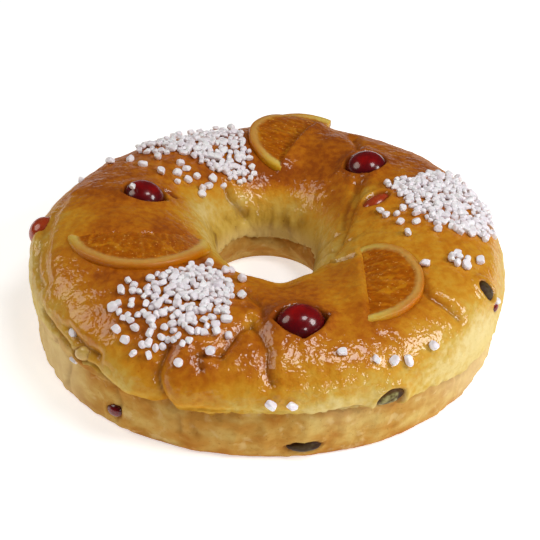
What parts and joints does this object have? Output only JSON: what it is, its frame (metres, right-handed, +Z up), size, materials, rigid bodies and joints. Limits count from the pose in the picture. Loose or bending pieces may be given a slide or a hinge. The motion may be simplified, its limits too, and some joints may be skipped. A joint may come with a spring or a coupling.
{
  "type": "ring-shaped sweet bread",
  "caption": "Uncut ring of browned sweet bread with glace cherries, candied orange slices, fruit chips and pearl sugar, on a flat foot.",
  "frame": {"origin": "middle of the flat underside, under the centre of the ring's outline", "axes": "+Z up, -Y towards the front of the ring"},
  "size_m": [0.2375, 0.237, 0.0707],
  "materials": {
    "bread": "egg-washed golden brown crust, paler and matt towards the foot",
    "cherry": "wet, glossy dark red",
    "orange": "candied, translucent, satin",
    "chip": "candied, satin",
    "peel": "candied, satin",
    "sugar": "rough white sugar"
  },
  "bodies": {
    "root": {"bread": "bread", "cherry_front": "cherry", "cherry_left": "cherry", "cherry_right": "cherry", "cherry_edge": "cherry", "cherry_lens": "cherry", "cherry_foot": "cherry", "cherry_chip": "cherry", "fruit_foot": "chip", "fruit_side": "chip", "fruit_right": "chip", "peel_left": "peel", "orange_left": "orange", "orange_back": "orange", "orange_right": "orange"}
  },
  "joints": []
}
